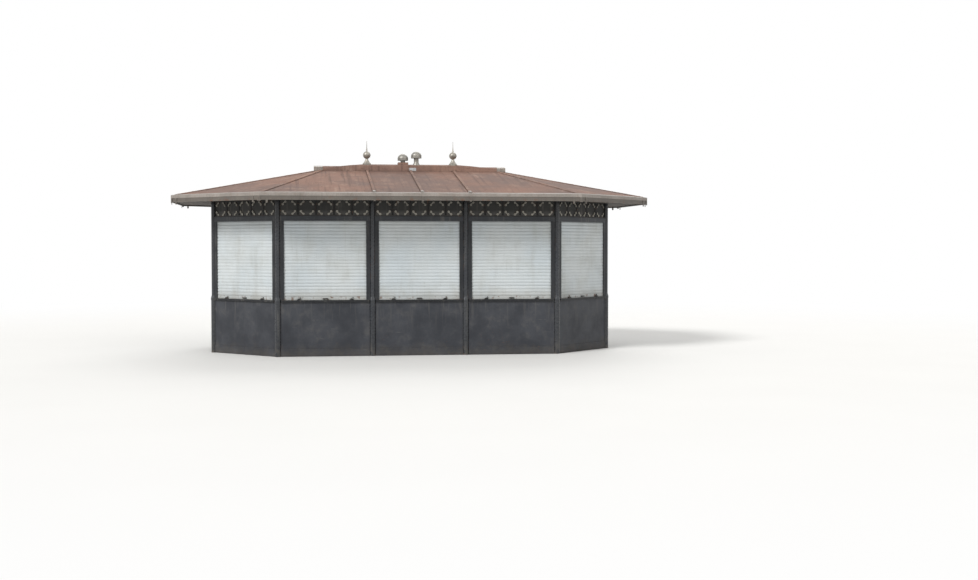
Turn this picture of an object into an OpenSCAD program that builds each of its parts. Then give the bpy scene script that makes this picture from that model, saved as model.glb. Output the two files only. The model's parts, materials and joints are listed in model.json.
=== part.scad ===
// Park kiosk: a long octagonal steel serving booth, closed all round by roller
// shutters, under a low hipped sheet roof with wide eaves, finials and vent cowls.
// The plan is a regular octagon cut in half and drawn apart, so every bay is alike.
// +Y runs from the front to the back, +X along the front, Z = 0 is the ground.

/* [Plan] */
// Distance between two neighbouring columns, the side of the octagon
bay = 1800; // [1500:10:2200]
// Bays along the front and along the back
long_bays = 3; // [2:1:4]

/* [Heights] */
// Top of the sill that the shutters close on
sill_z = 1078; // [900:1:1200]
// Number of laths in one shutter curtain
laths = 24; // [18:1:30]
// Height of one shutter lath
lath_pitch = 63; // [50:1:75]
// Height of the rail over the shutters
transom_h = 90; // [60:1:120]
// Height of the scrollwork frieze above that rail
frieze_h = 316; // [260:1:360]

/* [Columns] */
// Diameter of a column
column_d = 90; // [70:1:110]
// Height of the conical foot of a column above the sill
foot_h = 60; // [40:1:90]
// How far that foot widens on each side
foot_flare = 16; // [8:1:22]
// Diameter of the thicker post that carries a column below the sill
post_d = 114; // [100:1:122]

/* [Wall panels] */
// Thickness of a panel under the sill
apron_t = 40; // [25:1:60]
// Height of the sill rail
sill_h = 38; // [25:1:60]
// How far the sill stands in front of the column line
sill_out = 52; // [30:1:75]
// How far the sill reaches behind the column line
sill_in = 60; // [45:1:80]
// Height of the kick strip along the foot of a panel
kick_h = 150; // [80:5:250]
// How far the kick strip stands in front of the panel
kick_out = 8; // [3:1:15]

/* [Shutters] */
// Width of a shutter guide rail along the wall
guide_w = 76; // [50:1:90]
// Depth of a shutter guide rail through the wall
guide_depth = 60; // [45:1:75]
// How far the guide rails sit behind the middle of the wall
guide_shift = 5; // [0:1:8]
// How far the curtain runs into each guide
curtain_hold = 24; // [15:1:35]
// Play between the edge of the curtain and the bottom of its guide
curtain_play = 4; // [2:0.5:8]
// Play in front of the laths in their guide
lath_play = 2; // [1:0.5:3]
// Thickness of the flat back of the curtain
curtain_t = 4; // [3:0.5:6]
// How far each lath bulges outwards
lath_bulge = 7; // [4:0.5:9]
// Gap between two lath bulges
lath_gap = 4; // [2:0.5:8]
// Thickness of the stiff bar at the bottom of the curtain
bottom_bar_t = 18; // [14:1:24]
// Width of a bolt housing that stands on the sill
lock_w = 84; // [60:1:110]
// Height of a bolt housing
lock_h = 30; // [20:1:45]
// How far a bolt housing stays behind the edge of the sill
lock_back = 6; // [2:1:15]
// Distance of a bolt housing from the nearest guide, as a part of the clear width
lock_place = 0.18; // [0.1:0.01:0.35]
// Depth of the housing that the curtain rolls up in
roll_box_depth = 190; // [150:1:220]

/* [Frieze] */
// Scroll squares in one bay
frieze_units = 5; // [4:1:6]
// Thickness of the bars
frieze_t = 12; // [8:1:20]
// Width of the bars above and below the scrolls
frieze_bar = 24; // [16:1:32]
// Width of the upright bars between the squares
frieze_post = 34; // [20:1:44]
// Width of a scroll
scroll_w = 17; // [12:1:24]
// Radius of the round eye at the end of a scroll
scroll_eye = 21; // [15:1:24]
// How far the scrolls stand in front of the bars
scroll_out = 6; // [2:1:10]
// Angle from the middle of a gap in the ring of scrolls to the nearest eye
scroll_start = 30; // [22:1:34]
// How deep the eyes are cast into the bars
eye_sink = 2; // [1:0.5:5]

/* [Roof] */
// How far the eaves stand out from the column line
overhang = 790; // [500:10:1000]
// Height of the ridge above the eaves
roof_rise = 600; // [400:10:900]
// Thickness of the roof sheets
sheet_t = 30; // [20:1:50]
// Depth of the fascia board
fascia_h = 138; // [100:1:180]
// Thickness of the fascia board
fascia_t = 25; // [15:1:40]
// Width of the drip strip that laps from the fascia onto the roof
drip_w = 70; // [45:1:110]
// Thickness of that strip
drip_t = 10; // [6:1:20]
// How far that strip is folded down over the fascia
drip_fold = 50; // [30:1:65]
// How far the fold and the straps stand in front of the fascia board
drip_out = 8; // [5:1:12]
// Height of the lip along the lower edge of the fascia
lip_h = 18; // [10:1:25]
// How far the lip stands in front of the fascia board
lip_out = 4; // [2:0.5:4.5]
// Width of the straps that hold the fascia
strap_w = 36; // [20:1:60]
// How far the straps beside a corner hang below the fascia
strap_drop = 45; // [20:1:70]
// How far the straps at the seams and the angles on the corners hang below it
strap_tail = 16; // [8:1:40]
// Distance of the last strap from a corner of the eaves
strap_place = 150; // [100:5:300]
// Thickness of the soffit
soffit_t = 18; // [12:1:30]
// Height of the fascia's lower edge below the soffit
fascia_drop = 36; // [0:1:50]
// Thickness of the ring beam on the columns
beam_t = 100; // [80:1:140]
// Standing seams on each long slope, half a bay apart
seam_count = 3; // [1:2:5]
// Width of a standing seam
seam_w = 50; // [30:1:70]
// Height of a standing seam
seam_h = 28; // [15:1:40]
// Half the width of the strip on each hip
hip_w = 55; // [35:1:80]
// Height of the strip on each hip
hip_h = 14; // [8:1:25]
// Half the width of the ridge box
ridge_w = 150; // [100:1:220]
// Height of the ridge box above the sheets at its ends
ridge_h = 78; // [50:1:120]
// How much higher the ridge box is in its middle, where the finials stand
crown_h = 42; // [20:1:70]
// Length over which it comes down to its ends
crown_run = 380; // [250:10:600]
// How far the ridge box runs past the point where the hips meet
ridge_over = 190; // [100:1:260]
// Side of the square curb on the ridge box under the lower cowl
curb_w = 210; // [180:5:240]
// Height of that curb above the ridge box
curb_h = 40; // [25:5:90]

/* [Finials and vents] */
// Diameter of a finial ball
ball_d = 156; // [120:1:200]
// Length of a finial spike above its ball
spike_h = 215; // [150:5:400]
// Height of the cone under a finial ball
cone_h = 120; // [80:5:160]
// Diameter of that cone at its foot
cone_d = 172; // [120:2:220]
// Diameter of that cone under the ball
neck_d = 52; // [40:2:70]
// Diameter of a vent cowl's domed cap
cowl_d = 220; // [160:2:250]
// Height of the dome of that cap
dome_h = 88; // [60:2:100]
// Height of the skirt below the dome
skirt_h = 50; // [30:2:60]
// Height of the lower vent cowl above its curb
cowl_low_h = 180; // [170:2:300]
// Height of the higher vent cowl above the ridge box
cowl_high_h = 272; // [230:2:400]
// Diameter of a vent pipe
pipe_d = 100; // [70:2:130]
// Place of the lower cowl along the ridge
cowl_low_x = -150; // [-500:10:-130]
// Place of the higher cowl along the ridge
cowl_high_x = 130; // [110:10:500]

/* [Floor] */
// Thickness of the floor slab
floor_t = 60; // [40:1:120]

/* [Hidden] */
$fn = 48;
// Larger than the whole kiosk
far = 20000;
// Clearance round a column
eps = 0.2;
// Clearance where pieces are cut to a slope or a mitre
seat = 0.1;

// Plan
turn = 45;
half_turn = turn / 2;
centre_dist = bay / 2 / tan(half_turn);
spread = (long_bays - 1) / 2 * bay;
// Each side: sideways place of its half octagon, outward direction, bays, half the straight ridge
FRONT = [0, -90, long_bays, spread];
BACK = [0, 90, long_bays, spread];
ENDS = [[spread, 0, 1, 0], [-spread, 180, 1, 0]];
CORNERS = [[spread, -45, 1, 0], [spread, 45, 1, 0], [-spread, 135, 1, 0], [-spread, -135, 1, 0]];
SIDES = concat([FRONT, BACK], ENDS, CORNERS);

// Heights
shutter_h = laths * lath_pitch;
transom_z = sill_z + shutter_h;
frieze_z = transom_z + transom_h;
soffit_z = frieze_z + frieze_h;
fascia_z = soffit_z - fascia_drop;
eave_z = fascia_z + fascia_h - drip_t;
run = centre_dist + overhang;
pitch = atan(roof_rise / run);
ridge_z = eave_z + roof_rise;
ridge_top = ridge_z + ridge_h;
crown_top = ridge_top + crown_h;

// Walls
column_r = column_d / 2;
post_r = post_d / 2;
post_h = sill_z - sill_h;
panel_end = column_r + eps;
panel_w = bay - 2 * panel_end;
apron_w = bay - 2 * (post_r + eps);
clear_w = bay - 2 * (panel_end + guide_w);
curtain_w = clear_w + 2 * curtain_hold;
apron_out = apron_t / 2;
guide_out = guide_depth / 2 - guide_shift;
slot_out = max(lath_bulge + curtain_t / 2, bottom_bar_t / 2) + lath_play;
slot_in = bottom_bar_t / 2;

// Frieze: where a scroll ends, the middle line of the ring, and the width of a square
scroll_finish = 90 - scroll_start;
ring_r = (frieze_h / 2 - frieze_bar - scroll_eye + eye_sink) / sin(scroll_finish);
square_w = panel_w / frieze_units;

// Eaves: the board's face and back, and the line that the drip strip laps up to
board_face = run - drip_out;
board_back = run - fascia_t;
lap_line = run - drip_w;
fold_z = eave_z - drip_fold;

// Roof trim
seam_places = [for (index = [0 : seam_count - 1]) (index - (seam_count - 1) / 2) * bay / 2];
pipe_r = pipe_d / 2;
// Pieces that stand on a slope start this far down and are cut off at it
foot_drop = 60;

// Half the width of a side's wedge of the plan, at a distance r from its centre
function half_at(side, r) = side[3] + r * tan(half_turn);

// Height of the top of the roof sheets, at a distance r from the centre
function sheet_z(r) = eave_z + (run - r) * tan(pitch);

// Moves to a side's centre, with X along the wall and -Y outwards
module at_centre(side) {
    translate([side[0], 0, 0])
        rotate([0, 0, side[1] + 90])
            children();
}

// Moves to the middle of a side's wall on the column line
module at_wall(side) {
    at_centre(side)
        translate([0, -centre_dist, 0])
            children();
}

// Moves to the middle of one bay of a side
module at_bay(side, index) {
    at_wall(side)
        translate([(index - (side[2] - 1) / 2) * bay, 0, 0])
            children();
}

// Repeats for every bay of the given sides
module in_each_bay(sides) {
    for (side = sides)
        for (index = [0 : side[2] - 1])
            at_bay(side, index)
                children();
}

// A block across a bay: sideways half width, outward and inward reach, and height
module bay_block(half_w, out, back, low, high) {
    translate([-half_w, -out, low])
        cube([2 * half_w, out + back, high - low]);
}

// The wedge of the plan that belongs to a side, from r_in to r_out
module wedge(side, r_in, r_out, low, high) {
    outer = half_at(side, r_out) - seat / 2;
    inner = half_at(side, r_in) - seat / 2;
    translate([0, 0, low])
        linear_extrude(high - low)
            polygon(inner > 0
                ? [[-outer, -r_out], [outer, -r_out], [inner, -r_in], [-inner, -r_in]]
                : [[-outer, -r_out], [outer, -r_out], [0, 0]]);
}

// A profile of [r, z] points run along a side and mitred at both ends
module mitred(side, profile) {
    r_in = min([for (p = profile) p[0]]);
    r_out = max([for (p = profile) p[0]]);
    low = min([for (p = profile) p[1]]);
    high = max([for (p = profile) p[1]]);
    length = 2 * half_at(side, r_out);
    intersection() {
        wedge(side, r_in, r_out, low, high);
        translate([length / 2, 0, 0])
            rotate([90, 0, -90])
                linear_extrude(length)
                    polygon(profile);
    }
}

// A layer parallel to a side's roof slope, between two heights above the sheets' top
module slope_layer(low, high) {
    translate([0, 0, ridge_z])
        rotate([pitch, 0, 0])
            translate([-far / 2, -far / 2, low * cos(pitch)])
                cube([far, far, (high - low) * cos(pitch)]);
}

// The block of space inside the given sides, up to a distance r from their centres
module inside(sides, r, low, high) {
    intersection_for (side = sides)
        at_centre(side)
            translate([-far / 2, -r, low])
                cube([far, far, high - low]);
}

// Repeats on every column of the plan
module at_each_column() {
    for (side = SIDES)
        for (index = [0 : side[2] - 1])
            at_bay(side, index)
                translate([bay / 2, 0, 0])
                    children();
}

module floor_slab() {
    color("#6f6a63")
        difference() {
            inside(SIDES, centre_dist - apron_out, 0, floor_t);
            at_each_column()
                cylinder(r = post_r + eps, h = 3 * floor_t, center = true);
        }
}

// A plain round column with a conical foot on the sill, carried by a thicker post below it
module column() {
    cylinder(r = post_r, h = post_h);
    cylinder(r = column_r, h = soffit_z);
    translate([0, 0, sill_z])
        cylinder(r1 = column_r + foot_flare, r2 = column_r, h = foot_h);
    translate([0, 0, post_h])
        cylinder(r = column_r + foot_flare, h = sill_h);
}

module columns() {
    color("#26282a")
        at_each_column()
            column();
}

// The sheet panel under each sill, with a kick strip along its foot
module apron(sides) {
    color("#1f2124")
        in_each_bay(sides) {
            bay_block(apron_w / 2, apron_out, apron_out, 0, post_h);
            bay_block(apron_w / 2, apron_out + kick_out, 0, 0, kick_h);
        }
}

module sill_rails() {
    half_w = panel_w / 2 - foot_flare;
    color("#17191b")
        in_each_bay(SIDES)
            bay_block(half_w, sill_out, sill_in, post_h, sill_z);
}

// One channel that holds an edge of the curtain, to the left of the bay
module guide() {
    difference() {
        translate([-bay / 2 + panel_end, -guide_out, sill_z])
            cube([guide_w, guide_depth, shutter_h]);
        translate([-curtain_w / 2 - curtain_play, -slot_out, sill_z - foot_drop])
            cube([guide_w, slot_out + slot_in, shutter_h + 2 * foot_drop]);
        translate([-bay / 2, 0, sill_z])
            cylinder(r1 = column_r + foot_flare + eps, r2 = column_r + eps, h = foot_h);
    }
}

module shutter_guides() {
    color("#1b1d1f")
        in_each_bay(SIDES) {
            guide();
            mirror([1, 0, 0])
                guide();
        }
}

module transoms() {
    color("#17191b")
        in_each_bay(SIDES)
            bay_block(panel_w / 2, guide_out, guide_depth - guide_out, transom_z, frieze_z);
}

// The housing over each shutter, mitred so that neighbours at a corner clear
module roll_boxes() {
    front_y = frieze_t;
    back_y = front_y + roll_box_depth;
    front_w = panel_w / 2 - front_y * tan(half_turn);
    back_w = panel_w / 2 - back_y * tan(half_turn);
    color("#121314")
        in_each_bay(SIDES)
            translate([0, 0, frieze_z])
                linear_extrude(frieze_h)
                    polygon([[-front_w, front_y], [front_w, front_y],
                        [back_w, back_y], [-back_w, back_y]]);
}

// Small round-topped housings of the bolts that lock a curtain to the sill
module shutter_locks() {
    place = clear_w / 2 - lock_place * clear_w;
    color("#101112")
        in_each_bay(SIDES)
            for (x = [-place, place])
                translate([x, -bottom_bar_t / 2, sill_z])
                    rotate([90, 0, 0])
                        linear_extrude(sill_out - bottom_bar_t / 2 - lock_back)
                            intersection() {
                                translate([0, lock_h - lock_w / 2])
                                    circle(r = lock_w / 2);
                                translate([-lock_w / 2, 0])
                                    square([lock_w, lock_h]);
                            }
}

// Outline of the curtain seen from its edge: a flat back with a round bulge for each lath
module curtain_outline() {
    bulge_h = lath_pitch - lath_gap;
    radius = (pow(bulge_h / 2, 2) + pow(lath_bulge, 2)) / (2 * lath_bulge);
    translate([-curtain_t / 2, 0])
        square([curtain_t, shutter_h]);
    translate([-bottom_bar_t / 2, 0])
        square([bottom_bar_t, lath_pitch - lath_gap]);
    for (index = [1 : laths - 1])
        translate([curtain_t / 2, (index + 0.5) * lath_pitch])
            intersection() {
                translate([lath_bulge - radius, 0])
                    circle(r = radius, $fn = 96);
                translate([-curtain_t / 4, -bulge_h / 2])
                    square([lath_bulge + curtain_t / 2, bulge_h]);
            }
}

module shutter(side, index) {
    color("#b9c3c9")
        at_bay(side, index)
            translate([curtain_w / 2, 0, sill_z])
                rotate([90, 0, -90])
                    linear_extrude(curtain_w)
                        curtain_outline();
}

// A quarter of the broken ring in a frieze square, with an eye at each end
module scroll() {
    reach = 2 * ring_r;
    intersection() {
        difference() {
            circle(r = ring_r + scroll_w / 2);
            circle(r = ring_r - scroll_w / 2);
        }
        polygon([[0, 0], [reach * cos(scroll_start), reach * sin(scroll_start)], [reach, reach],
            [reach * cos(scroll_finish), reach * sin(scroll_finish)]]);
    }
    for (angle = [scroll_start, scroll_finish])
        translate([ring_r * cos(angle), ring_r * sin(angle)])
            circle(r = scroll_eye, $fn = 24);
}

// The bars of a frieze square: half an upright on each side, whole bars above and below
module square_frame() {
    difference() {
        square([square_w, frieze_h], center = true);
        square([square_w - frieze_post, frieze_h - 2 * frieze_bar], center = true);
    }
}

// Repeats for every frieze square of a bay
module in_each_square() {
    for (index = [0 : frieze_units - 1])
        translate([(index - (frieze_units - 1) / 2) * square_w, 0])
            children();
}

// Cast openwork over the shutters: bars, and four scrolls in front of them in each square
module frieze(sides) {
    color("#4a4744")
        in_each_bay(sides)
            translate([0, frieze_t, frieze_z + frieze_h / 2])
                rotate([90, 0, 0]) {
                    linear_extrude(frieze_t)
                        in_each_square()
                            square_frame();
                    linear_extrude(frieze_t + scroll_out)
                        in_each_square()
                            for (mx = [0, 1], my = [0, 1])
                                mirror([mx, 0])
                                    mirror([0, my])
                                        scroll();
                }
}

// The beam on the columns, its top cut to the slope of the roof
module ring_beam(sides) {
    r_in = centre_dist - beam_t / 2;
    r_out = centre_dist + beam_t / 2;
    under = sheet_t / cos(pitch) + seat;
    color("#3b3733")
        for (side = sides)
            at_centre(side)
                mitred(side, [[r_in, soffit_z], [r_out, soffit_z],
                    [r_out, sheet_z(r_out) - under], [r_in, sheet_z(r_in) - under]]);
}

module soffit(sides) {
    r_in = centre_dist + beam_t / 2 + seat;
    color("#2a2725")
        for (side = sides)
            at_centre(side)
                wedge(side, r_in, board_back - seat, soffit_z, soffit_z + soffit_t);
}

// The fascia board with a lip below, and the drip strip folded over its top onto the sheets
module fascia(sides) {
    under = sheet_z(lap_line) + seat;
    color("#a9a7a3")
        for (side = sides)
            at_centre(side)
                mitred(side, [[board_back, fascia_z], [board_face + lip_out, fascia_z],
                    [board_face + lip_out, fascia_z + lip_h], [board_face, fascia_z + lip_h],
                    [board_face, fold_z], [run, fold_z], [run, eave_z + drip_t],
                    [lap_line, sheet_z(lap_line) + drip_t], [lap_line, under],
                    [board_back, sheet_z(board_back) + seat]]);
}

// A strap down the face of a fascia, notched round its lip and hanging on below it
module strap(drop) {
    translate([strap_w / 2, 0, 0])
        rotate([90, 0, -90])
            linear_extrude(strap_w)
                polygon([[board_face, fold_z], [run, fold_z], [run, fascia_z - drop],
                    [board_face, fascia_z - drop], [board_face, fascia_z],
                    [board_face + lip_out, fascia_z], [board_face + lip_out, fascia_z + lip_h],
                    [board_face, fascia_z + lip_h]]);
}

// An angle piece round a corner of the eaves, notched like the straps
module corner_angle(side, neighbour, hand) {
    corner_r = run / cos(half_turn);
    difference() {
        intersection() {
            at_centre(side)
                rotate([0, 0, hand * half_turn])
                    translate([0, -corner_r, 0])
                        rotate([0, 0, turn])
                            cube([2 * strap_w, 2 * strap_w, 2 * fold_z], center = true);
            inside([side, neighbour], run, fascia_z - strap_tail, fold_z);
        }
        inside([side, neighbour], board_face, 0, ridge_top);
        inside([side, neighbour], board_face + lip_out, fascia_z, fascia_z + lip_h);
    }
}

// Straps at the standing seams and near every corner, and the angle pieces between them
module fascia_straps() {
    color("#b4b1aa") {
        for (side = [FRONT, BACK])
            at_centre(side)
                for (x = seam_places)
                    translate([x, 0, 0])
                        strap(strap_tail);
        for (side = SIDES)
            at_centre(side)
                for (hand = [-1, 1])
                    translate([hand * (half_at(side, run) - strap_place), 0, 0])
                        strap(strap_drop);
        for (side = CORNERS)
            for (hand = [-1, 1])
                corner_angle(side, [side[0], side[1] + hand * turn], hand);
    }
}

module roof(sides) {
    color("#7a5546")
        for (side = sides)
            at_centre(side)
                intersection() {
                    wedge(side, 0, board_back - seat, fascia_z, ridge_top);
                    slope_layer(-sheet_t / cos(pitch), 0);
                }
}

// Raised seams on the two long slopes, each cut off at the hip strip
module seams() {
    edge = hip_w / cos(half_turn);
    color("#6d4b3e")
        for (side = [FRONT, BACK])
            at_centre(side)
                intersection() {
                    slope_layer(0, seam_h);
                    translate([0, 0, fascia_z])
                        linear_extrude(ridge_top)
                            intersection() {
                                for (x = seam_places)
                                    translate([x - seam_w / 2, -lap_line])
                                        square([seam_w, lap_line - ridge_w]);
                                polygon([[-half_at(side, lap_line) + edge, -lap_line],
                                    [half_at(side, lap_line) - edge, -lap_line],
                                    [side[3] - edge, 0], [-side[3] + edge, 0]]);
                            }
                }
}

// Everything under the top of the roof sheets, raised by a height, on the given sides
module under_roof(sides, high) {
    intersection_for (side = sides)
        at_centre(side)
            slope_layer(-far / 2, high);
}

// A folded strip along each hip, lying on both slopes down to the drip strip
module hip_strips() {
    color("#6d4b3e")
        for (side = CORNERS)
            for (hand = [-1, 1])
                hip_strip(side, [side[0], side[1] + hand * turn], hand);
}

// The upright block of space that the ridge box stands in
module ridge_plan() {
    half_l = spread + ridge_over;
    translate([-half_l, -ridge_w, 0])
        cube([2 * half_l, 2 * ridge_w, 2 * ridge_top]);
}

module hip_strip(side, neighbour, hand) {
    length = run / cos(half_turn);
    difference() {
        intersection() {
            at_centre(side)
                rotate([0, 0, hand * half_turn])
                    translate([-hip_w, -length, fascia_z])
                        cube([2 * hip_w, length, ridge_top]);
            inside([side, neighbour], lap_line, 0, 2 * ridge_top);
            under_roof([side, neighbour], hip_h);
        }
        under_roof([side, neighbour], 0);
        ridge_plan();
    }
}

// A long prism over the ridge whose top follows the slopes up to a given height
module ridge_prism(top) {
    half_l = spread + ridge_over;
    drop = ridge_w * tan(pitch);
    depth = ridge_over * tan(pitch) + drop;
    translate([half_l, 0, 0])
        rotate([90, 0, -90])
            linear_extrude(2 * half_l)
                polygon([[-ridge_w, ridge_z - depth], [ridge_w, ridge_z - depth],
                    [ridge_w, top - drop], [0, top], [-ridge_w, top - drop]]);
}

// The long box on the ridge, higher in its middle, with the curb of the lower cowl
module ridge_box() {
    level = (bay + cone_d) / 2;
    foot = level + crown_run * (crown_top - ridge_z) / crown_h;
    color("#6d4b3e") {
        difference() {
            union() {
                ridge_prism(ridge_top);
                intersection() {
                    ridge_prism(crown_top);
                    rotate([90, 0, 0])
                        linear_extrude(3 * ridge_w, center = true)
                            polygon([[-foot, ridge_z], [foot, ridge_z],
                                [level, crown_top], [-level, crown_top]]);
                }
            }
            under_roof(SIDES, 0);
        }
        translate([cowl_low_x - curb_w / 2, -curb_w / 2, ridge_z])
            cube([curb_w, curb_w, crown_top + curb_h - ridge_z]);
    }
}

// A turned taper that narrows in a hollow curve, more hollow with a larger power
module turned(r_low, r_high, height, power) {
    rotate_extrude()
        polygon(concat([[0, 0]],
            [for (t = [0 : 0.125 : 1]) [r_high + (r_low - r_high) * pow(1 - t, power), t * height]],
            [[0, height]]));
}

// A turned finial: a hollow cone on a round foot, a ball with a bead round it, and a spike
module finial() {
    ball_r = ball_d / 2;
    ball_sink = 9;
    ball_z = cone_h + ball_r - ball_sink;
    foot_rim = 12;
    bead = 4;
    spike_r = 20;
    tip_r = 4;
    cone_hollow = 1.7;
    spike_hollow = 3;
    translate([0, 0, -foot_drop])
        cylinder(r = cone_d / 2, h = foot_drop + foot_rim);
    translate([0, 0, foot_rim])
        turned(cone_d / 2, neck_d / 2, cone_h - foot_rim, cone_hollow);
    translate([0, 0, ball_z])
        sphere(r = ball_r);
    translate([0, 0, ball_z])
        cylinder(r = ball_r + bead, h = 2 * bead, center = true);
    translate([0, 0, ball_z + ball_r - bead])
        turned(spike_r, tip_r, spike_h + bead, spike_hollow);
}

module finials() {
    color("#b8b4ac")
        difference() {
            for (x = [-bay / 2, bay / 2])
                translate([x, 0, crown_top])
                    finial();
            under_roof([FRONT, BACK], ridge_h + crown_h);
        }
}

// A vent pipe that reaches down by a foot, under a domed cap whose skirt hangs clear of it
module cowl(height, foot) {
    cap_r = cowl_d / 2;
    cap_t = 5;
    dome_r = (pow(cap_r, 2) + pow(dome_h, 2)) / (2 * dome_h);
    dome_z = height - dome_h;
    translate([0, 0, -foot])
        cylinder(r = pipe_r, h = foot + dome_z + cap_t);
    translate([0, 0, dome_z])
        rotate_extrude() {
            intersection() {
                translate([0, dome_h - dome_r])
                    circle(r = dome_r);
                square([cap_r, dome_h]);
            }
            translate([cap_r - cap_t, -skirt_h])
                square([cap_t, skirt_h + cap_t]);
        }
}

// The lower cowl stands on the curb, the higher one on the ridge with a conical flashing
module vent_cowls() {
    flashing_w = 45;
    color("#a8a59e") {
        translate([cowl_low_x, 0, crown_top + curb_h])
            cowl(cowl_low_h, 0);
        difference() {
            translate([cowl_high_x, 0, crown_top]) {
                cowl(cowl_high_h, foot_drop);
                translate([0, 0, -foot_drop])
                    cylinder(r1 = pipe_r + flashing_w, r2 = pipe_r, h = foot_drop + flashing_w);
            }
            under_roof([FRONT, BACK], ridge_h + crown_h);
        }
    }
}

floor_slab();
columns();
apron([FRONT]);  // apron_front
apron([BACK]);  // apron_back
apron(ENDS);  // apron_ends
apron(CORNERS);  // apron_corners
sill_rails();
shutter_guides();
transoms();
roll_boxes();
shutter_locks();
shutter(FRONT, 0);  // shutter_front_left
shutter(FRONT, 1);  // shutter_front_middle
shutter(FRONT, 2);  // shutter_front_right
shutter(CORNERS[0], 0);  // shutter_right_front_corner
shutter(ENDS[0], 0);  // shutter_right_end
shutter(CORNERS[1], 0);  // shutter_right_back_corner
shutter(BACK, 0);  // shutter_back_left
shutter(BACK, 1);  // shutter_back_middle
shutter(BACK, 2);  // shutter_back_right
shutter(CORNERS[2], 0);  // shutter_left_back_corner
shutter(ENDS[1], 0);  // shutter_left_end
shutter(CORNERS[3], 0);  // shutter_left_front_corner
frieze([FRONT]);  // frieze_front
frieze([BACK]);  // frieze_back
frieze(ENDS);  // frieze_ends
frieze(CORNERS);  // frieze_corners
ring_beam([FRONT, BACK]);  // ring_beam_long
ring_beam(ENDS);  // ring_beam_ends
ring_beam(CORNERS);  // ring_beam_corners
soffit([FRONT, BACK]);  // soffit_long
soffit(ENDS);  // soffit_ends
soffit(CORNERS);  // soffit_corners
fascia([FRONT, BACK]);  // fascia_long
fascia(ENDS);  // fascia_ends
fascia(CORNERS);  // fascia_corners
fascia_straps();
roof([FRONT]);  // roof_front
roof([BACK]);  // roof_back
roof(ENDS);  // roof_ends
roof(CORNERS);  // roof_corners
seams();
hip_strips();
ridge_box();
finials();
vent_cowls();
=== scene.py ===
"""Looks of the park kiosk: paint, sheet metal, castings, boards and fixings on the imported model.

Metres, +X along the front, +Y from the front to the back, Z = 0 on the ground.
"""
import json
import math

import bmesh
import bpy
from mathutils import Matrix, Vector


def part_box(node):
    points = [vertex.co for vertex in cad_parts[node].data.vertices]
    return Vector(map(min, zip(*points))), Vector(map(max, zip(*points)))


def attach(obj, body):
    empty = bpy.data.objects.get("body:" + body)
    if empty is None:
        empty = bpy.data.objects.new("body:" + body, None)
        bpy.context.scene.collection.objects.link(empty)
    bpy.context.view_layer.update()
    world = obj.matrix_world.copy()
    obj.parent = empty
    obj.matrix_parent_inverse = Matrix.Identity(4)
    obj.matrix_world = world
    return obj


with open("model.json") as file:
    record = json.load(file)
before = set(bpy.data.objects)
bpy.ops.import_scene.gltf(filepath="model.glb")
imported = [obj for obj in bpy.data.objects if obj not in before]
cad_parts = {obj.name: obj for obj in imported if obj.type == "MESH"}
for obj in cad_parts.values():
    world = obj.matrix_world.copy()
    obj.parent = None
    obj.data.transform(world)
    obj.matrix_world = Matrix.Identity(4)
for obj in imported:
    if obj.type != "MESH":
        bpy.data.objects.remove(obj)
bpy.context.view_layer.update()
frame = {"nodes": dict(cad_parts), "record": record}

# Sizes of the construction that its boxes don't show. The column line is the wall's zero.
FRIEZE_BACK = 0.012  # back of the frieze behind the column line
KICK_H = 0.150
KICK_OUT = 0.008  # kick strip in front of its panel
CURTAIN_HOLD = 0.024  # how far a curtain runs into each guide
BAR_FACE = 0.009  # front of a curtain's bottom bar, before the column line
LATH_PITCH = 0.063
LOCK_PLACE = 0.18  # from a guide to the bolt housing, as a part of the clear width
LOCK_HEIGHT = 0.030
GUIDE_W = 0.076
SEAM_W = 0.050
SEAM_H = 0.028
HIP_H = 0.014
DRIP_T = 0.010
FRIEZE_UNITS = 5  # squares of the frieze in a bay
SCROLL_START = math.radians(30)  # angles of a scroll's two eyes, about its square's middle
SCROLL_FINISH = math.radians(60)
SCROLL_RADIUS = 0.1328  # of the broken ring that a square's scrolls make
RIDGE_EDGE_Z = 3.7356  # edges and top of the ridge box, at its two ends
RIDGE_TOP_Z = 3.766
HALF_TURN = math.radians(22.5)  # half the angle between neighbouring sides

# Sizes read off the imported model
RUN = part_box("fascia_long")[1].y
WALL = FRIEZE_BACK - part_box("frieze_front")[1].y
SCROLL_FACE = -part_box("frieze_front")[0].y - WALL
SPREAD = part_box("frieze_ends")[1].x - SCROLL_FACE - WALL
BAY = 2 * WALL * math.tan(HALF_TURN)
LAP_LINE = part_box("seams")[1].y
LAP_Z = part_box("seams")[0].z
RIDGE_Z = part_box("roof_front")[1].z
PITCH = math.atan2(RIDGE_Z - LAP_Z, LAP_LINE)
EAVE_Z = RIDGE_Z - RUN * math.tan(PITCH)
SILL_Z, TRANSOM_Z = (corner.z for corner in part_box("shutter_guides"))
APRON_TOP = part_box("apron_front")[1].z
FRIEZE_Z, SOFFIT_Z = (corner.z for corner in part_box("frieze_front"))
FRIEZE_MIDDLE = (FRIEZE_Z + SOFFIT_Z) / 2
FASCIA_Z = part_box("fascia_long")[0].z
STRAP_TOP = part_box("fascia_straps")[1].z
KICK_FACE = -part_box("apron_front")[0].y - WALL
GUIDE_FACE = -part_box("shutter_guides")[0].y - WALL
LOCK_FACE = -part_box("shutter_locks")[0].y - WALL
APRON_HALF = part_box("apron_front")[1].x - SPREAD
FRIEZE_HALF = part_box("frieze_front")[1].x - SPREAD
CURTAIN_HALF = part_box("shutter_front_middle")[1].x
RIDGE_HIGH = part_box("ridge_box")[1]
SEAM_PLACES = (-BAY / 2, 0, BAY / 2)

# Turns a flat drawing to face the front: X stays, Y goes up and Z comes out
STAND = Matrix.Rotation(math.radians(90), 4, "X")


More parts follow.
